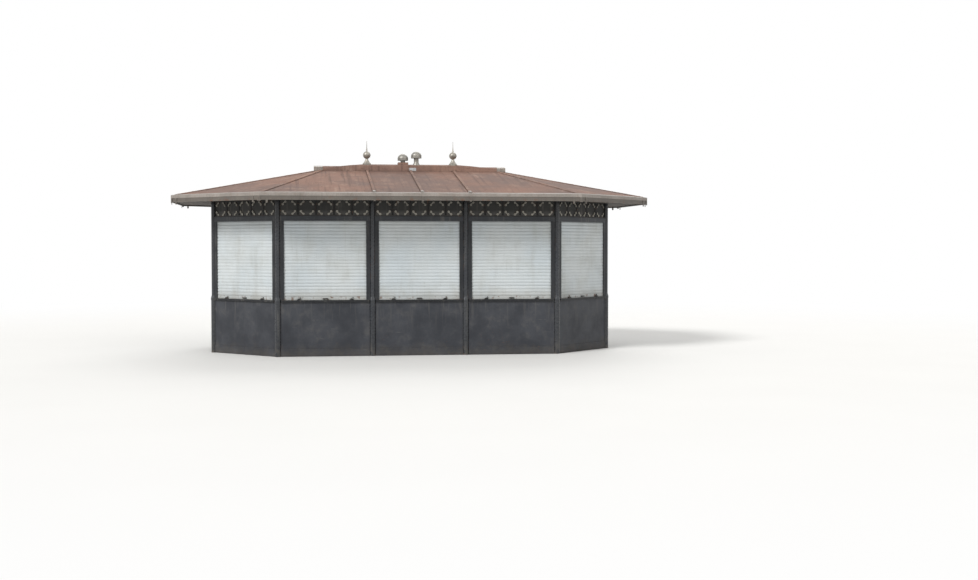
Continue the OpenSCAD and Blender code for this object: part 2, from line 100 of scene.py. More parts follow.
class Side:
    """One side of the plan: the way it faces, the centre of its half octagon and its bays."""

    def __init__(self, angle, centre_x, bay_count):
        turn = Matrix.Rotation(math.radians(angle), 4, "Z")
        self.centre = Matrix.Translation((centre_x, 0, 0)) @ turn
        self.straight = (bay_count - 1) / 2 * BAY
        self.bays = [index * BAY - self.straight for index in range(bay_count)]

    def half_at(self, reach):
        """Half the side's length at a distance from the centre."""
        return self.straight + reach * math.tan(HALF_TURN)

    def face(self, along, out, z):
        """A place on the wall: X along it, Y up, Z outwards."""
        return self.centre @ Matrix.Translation((along, -WALL - out, z)) @ STAND

    def slope(self, along, up, lift):
        """A place on the roof sheets: X along the eave, Y up the slope, Z off the sheets."""
        eave = Matrix.Translation((0, -RUN, EAVE_Z)) @ Matrix.Rotation(PITCH, 4, "X")
        return self.centre @ eave @ Matrix.Translation((along, up, lift))


FRONT = Side(0, 0, 3)
BACK = Side(180, 0, 3)
SIDES = [
    FRONT,
    Side(45, SPREAD, 1),
    Side(90, SPREAD, 1),
    Side(135, SPREAD, 1),
    BACK,
    Side(-135, -SPREAD, 1),
    Side(-90, -SPREAD, 1),
    Side(-45, -SPREAD, 1),
]
# Every bay as its side and the place of its middle along that side
BAYS = [(side, x) for side in SIDES for x in side.bays]


def srgb(red, green, blue):
    """A screen colour from 0 to 255 as linear values."""
    shares = [value / 255 for value in (red, green, blue)]
    return (*(v / 12.92 if v <= 0.04045 else ((v + 0.055) / 1.055) ** 2.4 for v in shares), 1.0)


WHITE = (1, 1, 1, 1)
RUST = srgb(104, 72, 52)
DUST = srgb(132, 127, 118)
EARTH = srgb(100, 93, 82)


class Shader:
    """One material, built from the surface's place up. The methods give back sockets."""

    def __init__(self, name, metallic=0.0, specular=0.5, coat=0.0):
        self.material = bpy.data.materials.new(name)
        self.material.use_nodes = True
        self.tree = self.material.node_tree
        self.surface = self.tree.nodes["Principled BSDF"]
        self.surface.inputs["Metallic"].default_value = metallic
        self.surface.inputs["Specular IOR Level"].default_value = specular
        self.surface.inputs["Coat Weight"].default_value = coat
        self.place = self.add("ShaderNodeTexCoord").outputs["Object"]
        self.facing = self.add("ShaderNodeNewGeometry").outputs["True Normal"]
        self.x, self.y, self.z = self.split(self.place)
        _, self.back, self.up = self.split(self.facing)
        self.relief = None

    def add(self, kind, inputs=(), **settings):
        """A new node with its settings, and its inputs linked or set."""
        node = self.tree.nodes.new(kind)
        for key, value in settings.items():
            setattr(node, key, value)
        for key, value in dict(inputs).items():
            self.feed(node.inputs[key], value)
        return node

    def feed(self, socket, value):
        """Links a socket to another, or sets it to a value."""
        if isinstance(value, bpy.types.NodeSocket):
            self.tree.links.new(value, socket)
        else:
            socket.default_value = value

    def split(self, vector):
        return self.add("ShaderNodeSeparateXYZ", {0: vector}).outputs

    def join(self, x, y, z):
        return self.add("ShaderNodeCombineXYZ", {0: x, 1: y, 2: z}).outputs[0]

    def math(self, operation, first, second=0.0):
        return self.add("ShaderNodeMath", {0: first, 1: second}, operation=operation).outputs[0]

    def vector(self, operation, first, second=(0, 0, 0)):
        node = self.add("ShaderNodeVectorMath", {0: first, 1: second}, operation=operation)
        return node.outputs["Value" if operation in ("DOT_PRODUCT", "LENGTH") else "Vector"]

    def times(self, first, *others):
        """All the values multiplied."""
        for other in others:
            first = self.math("MULTIPLY", first, other)
        return first

    def most(self, first, *others):
        """The largest of the values."""
        for other in others:
            first = self.math("MAXIMUM", first, other)
        return first

    def step(self, value, start, end, low=0.0, high=1.0):
        """Goes smoothly from low to high while the value goes from start to end."""
        inputs = {"Value": value, "From Min": start, "From Max": end, "To Min": low, "To Max": high}
        return self.add("ShaderNodeMapRange", inputs, interpolation_type="SMOOTHSTEP").outputs[0]

    def spread(self, noise, low=0.0, high=1.0):
        """Goes from low to high over the range that most of a noise lies in."""
        return self.step(noise, 0.3, 0.7, low, high)

    def noise(self, size, detail=3.0, rough=0.55, stretch=(1, 1, 1), shift=0.0, at=None):
        """Cloudy noise from 0 to 1 whose blotches are about as large as the size."""
        shift_way = (1.0, 0.7, 1.3)
        scale = tuple(s / size for s in stretch)
        place = self.vector("MULTIPLY", self.place if at is None else at, scale)
        place = self.vector("ADD", place, tuple(shift * way for way in shift_way))
        inputs = {"Vector": place, "Scale": 1.0, "Detail": detail, "Roughness": rough}
        return self.add("ShaderNodeTexNoise", inputs).outputs["Fac"]

    def specks(self, size, share, shift=0.0):
        """Round specks in about half of the cells of a size, with a radius of a share of it."""
        kept_from, kept_to, solid = 0.45, 0.6, 0.6
        place = self.vector("ADD", self.place, (shift, shift, shift))
        node = self.add("ShaderNodeTexVoronoi", {"Vector": place, "Scale": 1 / size})
        keep = self.step(self.split(node.outputs["Color"])[0], kept_from, kept_to)
        return self.times(self.step(node.outputs["Distance"], share, share * solid), keep)

    def random(self, value):
        """A random number from 0 to 1 for every whole number."""
        inputs = {"W": value}
        return self.add("ShaderNodeTexWhiteNoise", inputs, noise_dimensions="1D").outputs["Value"]

    def fall_line(self, across, along):
        """A slope's own directions, level and downhill, each times a factor."""
        apart = 3.0  # keeps slopes of another pitch out of step
        flat = self.vector("NORMALIZE", self.vector("MULTIPLY", self.facing, (1, 1, 0)))
        level = self.vector("CROSS_PRODUCT", flat, (0, 0, 1))
        sideways = self.times(self.vector("DOT_PRODUCT", self.place, level), across)
        downhill = self.times(self.vector("DOT_PRODUCT", self.place, flat), along)
        return self.join(sideways, downhill, self.times(self.up, apart))

    def wall_depth(self):
        """How far a place stands in front of the column line, in metres."""
        beside = self.math("SUBTRACT", self.math("ABSOLUTE", self.x), SPREAD)
        ahead = self.math("ABSOLUTE", self.y)
        corner = self.times(self.math("ADD", beside, ahead), math.sqrt(0.5))
        return self.math("SUBTRACT", self.most(ahead, beside, corner), WALL)

    def crevice(self, reach):
        """1 in corners and gaps narrower than the reach, 0 in the open."""
        open_from, closed_from = 0.85, 0.35
        inputs = {"Distance": reach}
        open_sky = self.add("ShaderNodeAmbientOcclusion", inputs, samples=4).outputs["AO"]
        return self.step(open_sky, open_from, closed_from)

    def edge(self, radius):
        """1 on edges, over a band of the given radius."""
        flat_from, bent_from = 0.985, 0.9
        bevel = self.add("ShaderNodeBevel", {"Radius": radius}, samples=4).outputs["Normal"]
        return self.step(self.vector("DOT_PRODUCT", bevel, self.facing), flat_from, bent_from)

    def mix(self, share, first, second):
        """From the first colour to the second."""
        inputs = {0: share, 6: first, 7: second}
        return self.add("ShaderNodeMix", inputs, data_type="RGBA", clamp_factor=True).outputs[2]

    def shade(self, colour, factor):
        """A colour made lighter or darker by a factor."""
        node = self.add("ShaderNodeVectorMath", {0: colour, "Scale": factor}, operation="SCALE")
        return node.outputs[0]

    def bump(self, height, depth, strength):
        """Adds relief of a depth in metres, on top of what is there."""
        inputs = {"Height": height, "Distance": depth, "Strength": strength}
        if self.relief is not None:
            inputs["Normal"] = self.relief
        self.relief = self.add("ShaderNodeBump", inputs).outputs[0]

    def finish(self, colour, roughness):
        """Puts colour, roughness and relief on the surface, and gives back the material."""
        self.feed(self.surface.inputs["Base Color"], colour)
        self.feed(self.surface.inputs["Roughness"], roughness)
        if self.relief is not None:
            self.feed(self.surface.inputs["Normal"], self.relief)
        return self.material


def dark_paint(name, low, high, roughness, dust, coat=0.0, wear=0.5, painted_shade_by_height=None):
    """Dark paint on steel: dust on top, splashed earth low down, worn edges, rust in corners.

    The last argument is two heights, and how bright the paint is at each: painted light and shade by
    height.
    """
    splash_top = 0.34
    worn_grey = srgb(104, 100, 94)
    s = Shader(name, specular=0.28, coat=coat)
    cloud = s.noise(0.55, detail=4)
    fine = s.noise(0.035, detail=2, shift=3.0)
    streak = s.noise(0.05, detail=3, stretch=(1, 1, 0.07), shift=9.0)
    colour = s.mix(s.spread(cloud), low, high)
    colour = s.shade(colour, s.spread(fine, 0.93, 1.07))
    # Painted light and shade by height, from the eaves and ledges over the part
    if painted_shade_by_height:
        colour = s.shade(colour, s.step(s.z, *painted_shade_by_height))
    runs = s.times(s.step(streak, 0.52, 0.72), s.step(cloud, 0.35, 0.65), dust * 0.6)
    settled = s.times(s.step(s.up, 0.35, 0.9), s.step(cloud, 0.2, 0.6, 0.55, 1.0), dust * 1.9)
    splash_at = s.step(s.noise(0.09, shift=5.0), 0.38, 0.62)
    splash = s.times(s.step(s.z, splash_top, 0.0), splash_at, 0.4)
    colour = s.mix(s.most(runs, settled), colour, DUST)
    colour = s.mix(splash, colour, EARTH)
    worn_edge = s.times(s.edge(0.006), s.step(s.noise(0.06, shift=2.0), 0.45, 0.6), wear)
    colour = s.mix(worn_edge, colour, worn_grey)
    rust = s.times(s.crevice(0.03), s.step(s.noise(0.12, shift=7.0), 0.5, 0.66), 0.7)
    colour = s.mix(rust, colour, RUST)
    rough = s.math("ADD", s.spread(fine, roughness, roughness + 0.1), s.times(settled, 0.5))
    rough = s.math("ADD", rough, s.times(s.most(splash, rust), 0.35))
    s.bump(s.noise(0.008, detail=2), 0.0006, 0.5)
    s.bump(s.noise(0.3, detail=1, shift=4.0), 0.003, 0.35)
    return s.finish(colour, rough)


def apron_paint():
    """Matt charcoal paint on sheet panels: a thin grey film of dust, runs, scuffs, splashes."""
    runs_reach, splash_top, chips_top, chips_full = 0.75, 0.26, 0.7, 0.05
    charcoal, worn_charcoal = srgb(49, 51, 56), srgb(63, 65, 70)
    film_grey, scuff_grey, rim_grey = srgb(104, 101, 97), srgb(132, 129, 124), srgb(106, 103, 99)
    corner_shade_black = srgb(32, 31, 31)
    s = Shader("apron_paint", specular=0.25)
    cloud = s.noise(0.5, detail=5, rough=0.6)
    patch = s.noise(0.18, detail=5, rough=0.62, shift=6.0)
    streak = s.noise(0.045, detail=3, stretch=(1, 1, 0.06), shift=2.0)
    colour = s.mix(s.step(cloud, 0.32, 0.68), charcoal, worn_charcoal)
    film = s.times(s.step(patch, 0.45, 0.72), s.step(cloud, 0.38, 0.62), 0.3)
    below_sill = s.step(s.z, APRON_TOP - runs_reach, APRON_TOP)
    runs = s.times(s.step(streak, 0.52, 0.72), below_sill, 0.28)
    colour = s.mix(s.most(film, runs), colour, film_grey)
    scuff_at = s.noise(0.03, detail=4, stretch=(0.12, 0.12, 1.6), shift=8.0)
    scuff = s.times(s.step(scuff_at, 0.68, 0.74), s.step(cloud, 0.45, 0.6), 0.4)
    colour = s.mix(scuff, colour, scuff_grey)
    height = s.math("ADD", s.z, s.step(s.noise(0.2, detail=4, shift=4.0), 0.2, 0.8, -0.1, 0.1))
    splash_at = s.step(s.noise(0.05, shift=1.0), 0.25, 0.6, 0.35, 1.0)
    splash = s.times(s.step(height, splash_top, 0.0), splash_at)
    colour = s.mix(s.times(splash, 0.28), colour, EARTH)
    chips = s.times(s.specks(0.045, 0.22), s.step(s.noise(0.4, shift=12.0), 0.5, 0.62))
    low_chips = s.times(chips, s.step(s.z, chips_top, chips_full))
    colour = s.mix(s.times(low_chips, 0.6), colour, RUST)
    # Painted shade in corners and gaps between parts
    colour = s.mix(s.times(s.crevice(0.045), 0.55), colour, corner_shade_black)
    rim = s.times(s.edge(0.006), s.step(patch, 0.45, 0.6), 0.5)
    colour = s.mix(rim, colour, rim_grey)
    rough = s.math("ADD", s.spread(patch, 0.42, 0.55), s.times(s.most(film, splash), 0.3))
    s.bump(s.noise(0.01, detail=2), 0.0006, 0.5)
    s.bump(s.noise(0.35, detail=1, shift=3.0), 0.006, 0.4)
    s.bump(low_chips, 0.0008, 0.6)
    return s.finish(colour, rough)


def shutter_paint():
    """Pale coated laths: every lath a little different, grime in the joints, runs, splashes."""
    transom_shade_reach, foot_low, foot_high, bar_soft = 0.16, 0.02, 0.30, 0.006
    joint_edge, joint_core = 0.0055, 0.001
    cool, warm, bright = srgb(187, 195, 199), srgb(196, 201, 202), srgb(216, 219, 218)
    film_grey, run_grey, transom_shade_grey = srgb(163, 165, 158), srgb(140, 138, 128), srgb(138, 142, 140)
    foot_brown, top_grey = srgb(140, 132, 118), srgb(164, 162, 154)
    grime_grey, corner_shade_grey = srgb(96, 97, 96), srgb(70, 70, 68)
    s = Shader("shutter_paint", specular=0.5)
    rows = s.times(s.math("SUBTRACT", s.z, SILL_Z), 1 / LATH_PITCH)
    lath = s.math("FLOOR", rows)
    within = s.math("FRACT", rows)
    joint = s.times(s.math("MINIMUM", within, s.math("SUBTRACT", 1.0, within)), LATH_PITCH)
    bay = s.noise(0.9, detail=2, shift=11.0)
    cloud = s.noise(0.38, detail=5, rough=0.6)
    fine = s.noise(0.02, detail=3, shift=4.0)
    streak = s.noise(0.04, detail=4, stretch=(1, 1, 0.05), shift=1.0)
    wide_streak = s.noise(0.16, detail=3, stretch=(1, 1, 0.12), shift=6.0)
    colour = s.mix(s.spread(bay), cool, warm)
    colour = s.shade(colour, s.step(s.random(lath), 0.0, 1.0, 0.965, 1.02))
    colour = s.shade(colour, s.spread(fine, 0.98, 1.02))
    colour = s.mix(s.times(s.step(cloud, 0.4, 0.75), 0.3), colour, film_grey)
    runs = s.most(s.step(streak, 0.55, 0.75), s.times(s.step(wide_streak, 0.5, 0.7), 0.6))
    colour = s.mix(s.times(runs, s.step(cloud, 0.3, 0.6), 0.3), colour, run_grey)
    # Patchy painted shade at the top of the curtain, under the transom
    transom_shade = s.step(s.z, TRANSOM_Z - transom_shade_reach, TRANSOM_Z)
    transom_shade = s.times(transom_shade, s.step(cloud, 0.2, 0.7, 0.4, 0.9), 0.35)
    colour = s.mix(transom_shade, colour, transom_shade_grey)
    height = s.math("ADD", s.z, s.step(streak, 0.2, 0.8, -0.06, 0.06))
    foot = s.step(height, SILL_Z + foot_high, SILL_Z + foot_low)
    foot = s.times(foot, s.step(cloud, 0.2, 0.7, 0.5, 1.0))
    colour = s.mix(s.times(foot, 0.4), colour, foot_brown)
    upper_half = s.times(s.step(s.up, 0.1, 0.42), s.step(fine, 0.25, 0.65, 0.5, 1.0), 0.12)
    colour = s.mix(upper_half, colour, top_grey)
    grime = s.step(joint, joint_edge, joint_core)
    colour = s.mix(s.times(grime, 0.25), colour, grime_grey)
    scratch_at = s.noise(0.012, detail=3, stretch=(0.08, 0.08, 1.5), shift=14.0)
    scratch = s.times(s.step(scratch_at, 0.7, 0.76), s.step(cloud, 0.5, 0.6), 0.4)
    colour = s.mix(scratch, colour, bright)
    bar = s.step(s.z, SILL_Z + LATH_PITCH, SILL_Z + LATH_PITCH - bar_soft)
    rust_at = s.step(s.noise(0.07, detail=4, shift=17.0), 0.56, 0.66)
    rust = s.times(rust_at, s.most(s.times(bar, 0.75), s.times(grime, foot)))
    colour = s.mix(rust, colour, RUST)
    # Painted shade in corners and gaps between parts
    colour = s.mix(s.times(s.crevice(0.05), 0.4), colour, corner_shade_grey)
    rough = s.math("ADD", s.spread(cloud, 0.38, 0.52), s.times(s.most(foot, rust), 0.25))
    s.bump(s.noise(0.006, detail=2), 0.0004, 0.4)
    s.bump(s.noise(0.22, detail=2, shift=5.0), 0.003, 0.4)
    return s.finish(colour, rough)


def cast_iron():
    """Rough castings: black bars with the lowest one paler as painted light, and pale scrolls in
    front of them, palest low down and darker towards the top as painted shade of the eaves.
    """
    # Painted light and shade by height: two heights, and how bright the paint is at each
    lowest_bar_painted_light = (FRIEZE_Z + 0.02, FRIEZE_Z + 0.03, 4.6, 1.0)
    scroll_painted_shade = (FRIEZE_MIDDLE - 0.14, FRIEZE_MIDDLE + 0.14, 1.0, 0.5)
    black, worn_black, corner_shade_black = srgb(27, 27, 27), srgb(37, 36, 35), srgb(36, 34, 32)
    pale, paler, edge_pale = srgb(163, 160, 151), srgb(187, 183, 173), srgb(166, 161, 150)
    s = Shader("cast_iron_paint", specular=0.3)
    cloud = s.noise(0.3, detail=4)
    fine = s.noise(0.012, detail=3, shift=3.0)
    bars = s.mix(s.spread(cloud), black, worn_black)
    # Painted light: the lowest bar paler, where light reaches in under the eaves
    bars = s.shade(bars, s.step(s.z, *lowest_bar_painted_light))
    scrolls = s.mix(s.spread(cloud), pale, paler)
    # Painted shade of the eaves: scrolls darker towards the top
    scrolls = s.shade(scrolls, s.step(s.z, *scroll_painted_shade))
    raised = s.step(s.wall_depth(), 0.001, 0.6 * SCROLL_FACE)
    colour = s.mix(raised, bars, scrolls)
    colour = s.shade(colour, s.spread(fine, 0.85, 1.12))
    proud = s.times(s.edge(0.004), s.step(s.noise(0.03, shift=2.0), 0.35, 0.6), 0.6)
    colour = s.mix(s.times(proud, s.step(raised, 0.0, 1.0, 0.3, 1.0)), colour, edge_pale)
    # Painted shade in corners and gaps between bars and scrolls
    colour = s.mix(s.times(s.crevice(0.015), 0.6), colour, corner_shade_black)
    colour = s.mix(s.times(s.step(s.up, 0.4, 0.9), 0.3), colour, DUST)
    rust = s.times(s.step(s.noise(0.06, detail=4, shift=8.0), 0.6, 0.7), 0.5)
    colour = s.mix(rust, colour, RUST)
    s.bump(fine, 0.0012, 0.6)
    s.bump(s.noise(0.004, detail=2), 0.0005, 0.5)
    return s.finish(colour, s.spread(cloud, 0.5, 0.7))


def fascia_paint():
    """Weathered grey-beige paint on folded sheet: paler drip strip, runs below it, rust low down."""
    strip_soft, rust_above, rust_below = 0.003, 0.06, 0.02
    board_low, board_high = srgb(91, 85, 79), srgb(105, 99, 92)
    strip_low, strip_high = srgb(132, 125, 118), srgb(152, 144, 137)
    run_brown, chip_brown = srgb(72, 66, 60), srgb(96, 68, 52)
    corner_shade_brown, rim_pale = srgb(58, 50, 43), srgb(162, 154, 145)
    s = Shader("fascia_paint", specular=0.45)
    cloud = s.noise(0.5, detail=4)
    fine = s.noise(0.03, detail=3, shift=2.0)
    streak = s.noise(0.03, detail=4, stretch=(1, 1, 0.08), shift=5.0)
    board = s.mix(s.spread(cloud), board_low, board_high)
    strip = s.mix(s.spread(cloud), strip_low, strip_high)
    colour = s.mix(s.step(s.z, STRAP_TOP - strip_soft, STRAP_TOP), board, strip)
    colour = s.shade(colour, s.spread(fine, 0.93, 1.06))
    runs = s.times(s.step(streak, 0.5, 0.72), s.step(s.z, FASCIA_Z, STRAP_TOP, 0.9, 0.35))
    colour = s.mix(s.times(runs, 0.5), colour, run_brown)
    rust_at = s.step(s.noise(0.09, detail=5, shift=9.0), 0.54, 0.66)
    rust_low = s.step(s.z, FASCIA_Z + rust_above, FASCIA_Z - rust_below, 0.15, 0.8)
    colour = s.mix(s.times(rust_at, rust_low), colour, RUST)
    chips = s.times(s.specks(0.06, 0.2), s.step(s.noise(0.5, shift=3.0), 0.48, 0.6), 0.7)
    colour = s.mix(chips, colour, chip_brown)
    # Painted shade in corners and gaps between parts
    colour = s.mix(s.times(s.crevice(0.03), 0.6), colour, corner_shade_brown)
    rim = s.times(s.edge(0.005), s.step(s.noise(0.05, shift=6.0), 0.4, 0.6), 0.5)
    colour = s.mix(rim, colour, rim_pale)
    s.bump(s.noise(0.3, detail=1, stretch=(1, 1, 0.3), shift=7.0), 0.006, 0.4)
    s.bump(s.noise(0.01, detail=2), 0.0006, 0.5)
    s.bump(chips, 0.0008, 0.5)
    return s.finish(colour, s.spread(cloud, 0.5, 0.66))


def roof_paint(name, dull, warm, faded, wear):
    """Faded red-brown paint on roof sheets: run-off streaks, bleached and dirty patches."""
    sheets_half, headings = 0.75 * BAY, 12.0
    streak_brown, chalk_pale = srgb(86, 72, 66), srgb(168, 147, 134)
    litter_brown, bare_brown = srgb(74, 66, 50), srgb(112, 86, 74)
    corner_shade_brown, rim_pale = srgb(66, 58, 54), srgb(178, 160, 149)
    s = Shader(name, specular=0.12)
    cloud = s.noise(1.3, detail=4, rough=0.6)
    patch = s.noise(0.28, detail=5, rough=0.62, shift=5.0)
    fine = s.noise(0.025, detail=3, shift=2.0)
    run = s.noise(1.0, detail=4, rough=0.6, at=s.fall_line(14.0, 0.45), shift=3.0)
    wide_run = s.noise(1.0, detail=3, at=s.fall_line(3.2, 0.3), shift=8.0)
    # A tone for every sheet, by its place between the seams and the way that it faces
    across = s.math("MINIMUM", s.math("MAXIMUM", s.x, -sheets_half), sheets_half)
    sheet = s.math("FLOOR", s.times(across, 2 / BAY))
    tone = s.random(s.math("ADD", sheet, s.math("ROUND", s.times(s.back, headings))))
    colour = s.mix(s.step(cloud, 0.35, 0.65), dull, warm)
    bleached = s.times(s.step(patch, 0.45, 0.7), s.step(wide_run, 0.4, 0.65), 0.7)
    colour = s.mix(bleached, colour, faded)
    colour = s.shade(colour, s.step(tone, 0.0, 1.0, 0.94, 1.06))
    colour = s.shade(colour, s.spread(fine, 0.93, 1.07))
    streaks = s.times(s.step(run, 0.5, 0.68), s.step(wide_run, 0.35, 0.6), 0.5)
    colour = s.mix(streaks, colour, streak_brown)
    chalk = s.times(s.step(run, 0.42, 0.3), s.step(patch, 0.4, 0.65), 0.4)
    colour = s.mix(chalk, colour, chalk_pale)
    litter = s.times(s.specks(0.05, 0.3, 4.0), s.step(s.noise(0.6, shift=6.0), 0.48, 0.62), 0.6)
    colour = s.mix(litter, colour, litter_brown)
    bare = s.times(s.step(s.noise(0.09, detail=5, shift=14.0), 0.62, 0.68), 0.7)
    colour = s.mix(bare, colour, bare_brown)
    # Painted shade in corners and gaps between parts
    colour = s.mix(s.times(s.crevice(0.06), 0.65), colour, corner_shade_brown)
    rim = s.times(s.edge(0.007), s.step(patch, 0.35, 0.6), wear)
    colour = s.mix(rim, colour, rim_pale)
    rough = s.math("ADD", s.spread(cloud, 0.72, 0.84), s.times(s.most(litter, bare), 0.12))
    s.bump(s.noise(0.5, detail=1, shift=9.0), 0.012, 0.35)
    s.bump(s.noise(0.012, detail=3), 0.0008, 0.5)
    s.bump(s.most(litter, bare), 0.001, 0.5)
    return s.finish(colour, rough)


def dull_aluminium(name, low, high, metallic=0.55):
    """Pale grey metal gone dull: oxide blotches, dark runs, painted shade in corners."""
    run_brown, oxide_pale, corner_shade_brown = srgb(86, 80, 72), srgb(190, 186, 176), srgb(60, 55, 50)
    s = Shader(name, metallic=metallic, specular=0.5)
    cloud = s.noise(0.12, detail=5, rough=0.6)
    fine = s.noise(0.012, detail=3, shift=3.0)
    streak = s.noise(0.025, detail=3, stretch=(1, 1, 0.1), shift=6.0)
    colour = s.mix(s.spread(cloud), low, high)
    colour = s.shade(colour, s.spread(fine, 0.92, 1.06))
    colour = s.mix(s.times(s.step(streak, 0.52, 0.7), 0.5), colour, run_brown)
    oxide = s.times(s.step(s.noise(0.05, detail=4, shift=8.0), 0.56, 0.66), 0.5)
    colour = s.mix(oxide, colour, oxide_pale)
    # Painted shade in corners and gaps between parts
    colour = s.mix(s.times(s.crevice(0.03), 0.7), colour, corner_shade_brown)
    s.bump(fine, 0.0005, 0.5)
    s.bump(s.noise(0.09, detail=1, shift=5.0), 0.002, 0.35)
    return s.finish(colour, s.math("ADD", s.spread(cloud, 0.38, 0.52), s.times(oxide, 0.3)))


def board_wood():
    """Dark stained boards with the grain along them, from the boards' own directions."""
    grain_scale = (3.0, 90.0, 1.0)
    low, high, grain_dark = srgb(58, 50, 43), srgb(80, 70, 60), srgb(38, 32, 28)
    flaked_pale, corner_shade_dark = srgb(112, 101, 88), srgb(26, 23, 20)
    s = Shader("soffit_boards", specular=0.35)
    grain_at = s.add("ShaderNodeAttribute", attribute_name="grain").outputs["Vector"]
    board = s.random(s.split(grain_at)[2])
    grain = s.noise(1.0, detail=5, rough=0.65, at=s.vector("MULTIPLY", grain_at, grain_scale))
    cloud = s.noise(0.4, detail=3)
    colour = s.mix(s.step(board, 0.0, 1.0), low, high)
    colour = s.mix(s.times(s.step(grain, 0.4, 0.7), 0.6), colour, grain_dark)
    flaked = s.times(s.step(cloud, 0.5, 0.7), s.step(grain, 0.35, 0.6), 0.35)
    colour = s.mix(flaked, colour, flaked_pale)
    # Painted shade in corners and gaps between boards
    colour = s.mix(s.times(s.crevice(0.03), 0.6), colour, corner_shade_dark)
    s.bump(grain, 0.0009, 0.7)
    return s.finish(colour, s.spread(grain, 0.6, 0.8))


def cast_stone():
    """Smooth cast slab, worn and dusty."""
    low, high = srgb(142, 137, 128), srgb(166, 161, 150)
    speck_grey, corner_shade_grey = srgb(100, 95, 88), srgb(78, 72, 64)
    s = Shader("floor_stone", specular=0.35)
    cloud = s.noise(0.4, detail=5, rough=0.6)
    fine = s.noise(0.02, detail=4, shift=4.0)
    colour = s.mix(s.spread(cloud), low, high)
    colour = s.shade(colour, s.spread(fine, 0.9, 1.06))
    colour = s.mix(s.times(s.specks(0.012, 0.3), 0.6), colour, speck_grey)
    # Painted shade in corners and gaps between parts
    colour = s.mix(s.times(s.crevice(0.08), 0.6), colour, corner_shade_grey)
    s.bump(fine, 0.0015, 0.6)
    return s.finish(colour, s.spread(cloud, 0.7, 0.85))


PAINTS = {
    "floor": cast_stone(),
    # Columns darker towards the frieze: painted shade of the eaves
    "columns": dark_paint(
        "column_paint", srgb(40, 43, 48), srgb(52, 54, 57), roughness=0.24, dust=0.25,
        coat=0.35, wear=0.15, painted_shade_by_height=(TRANSOM_Z - 0.15, FRIEZE_MIDDLE, 1.0, 0.4),
    ),
    "aprons": apron_paint(),
    # Rails darker towards the sill: painted shade under the sill's ledge; lighter towards the
    # transom
    "rails": dark_paint(
        "rail_paint", srgb(42, 44, 48), srgb(53, 55, 58), roughness=0.38, dust=0.4,
        painted_shade_by_height=(SILL_Z, TRANSOM_Z, 0.5, 1.28),
    ),
    "guides": dark_paint(
        "guide_paint", srgb(35, 37, 40), srgb(44, 46, 49), roughness=0.36, dust=0.3,
    ),
    # Roll boxes lighter low down: painted light where it reaches in under the eaves
    "roll_boxes": dark_paint(
        "roll_box_paint", srgb(48, 48, 47), srgb(58, 57, 55), roughness=0.6, dust=0.3,
        painted_shade_by_height=(FRIEZE_Z + 0.03, FRIEZE_MIDDLE - 0.02, 2.6, 1.0),
    ),
    "locks": dark_paint(
        "lock_paint", srgb(26, 26, 27), srgb(36, 35, 34), roughness=0.42, dust=0.3, wear=0.9,
    ),
    "shutters": shutter_paint(),
    "frieze": cast_iron(),
    "ring_beam": dark_paint(
        "beam_paint", srgb(48, 45, 42), srgb(60, 56, 52), roughness=0.55, dust=0.3,
    ),
    "soffit": dark_paint(
        "soffit_stain", srgb(32, 29, 26), srgb(42, 38, 34), roughness=0.7, dust=0.2,
    ),
    "fascia": fascia_paint(),
    "roof": roof_paint(
        "roof_paint", srgb(116, 96, 88), srgb(141, 112, 99), srgb(158, 133, 119), wear=0.3,
    ),
    "roof_trim": roof_paint(
        "trim_paint", srgb(123, 101, 92), srgb(151, 121, 107), srgb(170, 145, 131), wear=0.6,
    ),
    "finials": dull_aluminium("finial_metal", srgb(140, 136, 128), srgb(176, 171, 160)),
    "cowls": dull_aluminium("cowl_metal", srgb(128, 126, 120), srgb(164, 160, 151)),
}
SLEEVE_METAL = dull_aluminium("sleeve_metal", srgb(124, 116, 108), srgb(156, 147, 138), metallic=0.3)
PATCH_METAL = dull_aluminium("patch_metal", srgb(170, 174, 176), srgb(196, 199, 200), metallic=0.3)
BOARDS = board_wood()

for subpart in frame["record"]["subparts"]:
    for material_slot in frame["nodes"][subpart["node"]].material_slots:
        material_slot.material = PAINTS[subpart["material_slot"]]


# Radius and height of the heads of screws and rivets
PAN_HEAD = (0.007, 0.0035)
FLAT_HEAD = (0.006, 0.002)
HIP_RIVET = (0.009, 0.005)
PATCH_RIVET = (0.005, 0.003)


def spaced(low, high, count):
    """Evenly spaced values from low to high."""
    return [low + (high - low) * index / (count - 1) for index in range(count)]


def add_rings(mesh, rings):
    """A closed skin through rings of equally many points, with a cap on each end."""
    made = [[mesh.verts.new(point) for point in ring] for ring in rings]
    count = len(made[0])
    for lower, upper in zip(made, made[1:]):
        for index in range(count):
            following = (index + 1) % count
            mesh.faces.new((lower[index], lower[following], upper[following], upper[index]))
    mesh.faces.new(list(reversed(made[0])))
    mesh.faces.new(made[-1])
    return made


def add_prism(mesh, place, outline, low, high):
    """An outline in a place's X and Y, anticlockwise, drawn out along its Z."""
    return add_rings(mesh, [[place @ Vector((x, y, z)) for x, y in outline] for z in (low, high)])


def add_block(mesh, place, low, high):
    """A block between two corners."""
    outline = [(low[0], low[1]), (high[0], low[1]), (high[0], high[1]), (low[0], high[1])]
    add_prism(mesh, place, outline, low[2], high[2])


def add_turned(mesh, place, profile, steps=10):
    """A profile of radius and height, turned about a place's Z."""
    angles = [2 * math.pi * index / steps for index in range(steps)]
    add_rings(mesh, [
        [place @ Vector((r * math.cos(a), r * math.sin(a), z)) for a in angles] for r, z in profile
    ])


def add_head(mesh, place, head):
    """The rounded head of a screw or a rivet, its foot a little way into the surface."""
    radius, height = head
    shares = ((1.0, -0.1), (1.0, 0.35), (0.8, 0.8), (0.45, 1.0))
    add_turned(mesh, place, [(radius * r, height * z) for r, z in shares])


